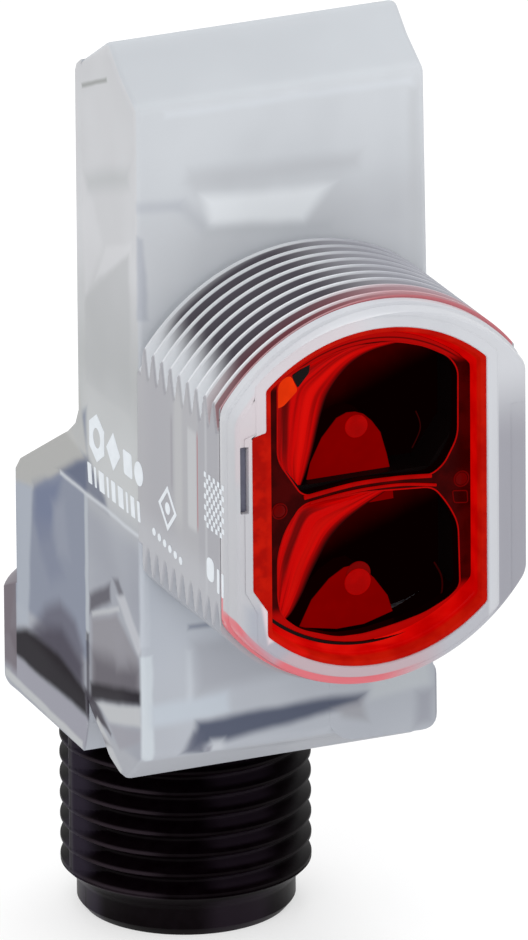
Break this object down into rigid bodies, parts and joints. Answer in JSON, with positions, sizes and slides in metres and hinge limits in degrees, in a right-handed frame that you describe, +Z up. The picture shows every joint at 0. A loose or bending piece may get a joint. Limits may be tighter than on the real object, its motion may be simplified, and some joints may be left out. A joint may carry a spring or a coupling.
{
  "type": "photoelectric sensor",
  "caption": "Compact photoelectric sensor in a clear moulded housing, with a flatted M18 threaded nose, a red front window and an M12 plug below.",
  "frame": {"origin": "on the axis of the threaded nose, in the plane of the housing's front face", "axes": "-Y is the way the nose and its light point, +Z is up and away from the plug, +X is to the right seen from the front"},
  "size_m": [0.015, 0.032, 0.0471],
  "materials": {
    "clear_housing": "clear polycarbonate, slightly milky, moulded",
    "red_window": "deep red transparent plastic, polished",
    "black_plastic": "black moulded plastic, fine satin",
    "black_insert": "black moulded plastic",
    "optic_black": "matt black, light absorbing",
    "lens_clear": "polished clear lens",
    "seal_rubber": "soft black rubber",
    "clear_seal": "translucent silicone rubber",
    "board_white": "glass-fibre board with white solder mask",
    "chip_black": "moulded epoxy package",
    "ceramic": "fired ceramic with tinned ends",
    "flex_amber": "polyimide film",
    "gold": "gold-plated contact",
    "tinned": "tinned copper",
    "lamp_white": "white lamp package"
  },
  "bodies": {
    "root": {"front_housing": "clear_housing", "rear_cover": "clear_housing", "front_bezel": "clear_housing", "light_guide": "lens_clear", "lens_window": "red_window", "window_gasket": "clear_seal", "aperture_mask": "optic_black", "optics_carrier": "optic_black", "heat_stakes": "optic_black", "receiver_lens": "lens_clear", "emitter_lens": "lens_clear", "optics_board": "board_white", "receiver_chip": "chip_black", "emitter_led": "lamp_white", "flex_ribbon": "flex_amber", "main_board": "board_white", "controller_chip": "chip_black", "regulator_chip": "chip_black", "output_driver": "chip_black", "ceramic_capacitors": "ceramic", "chip_resistors": "chip_black", "power_led": "lamp_white", "output_led": "lamp_white", "connector_sleeve": "black_plastic", "contact_core": "black_insert", "contact_flange": "black_insert", "contact_pins": "gold", "pin_leads": "tinned", "connector_seal": "seal_rubber"}
  },
  "joints": []
}
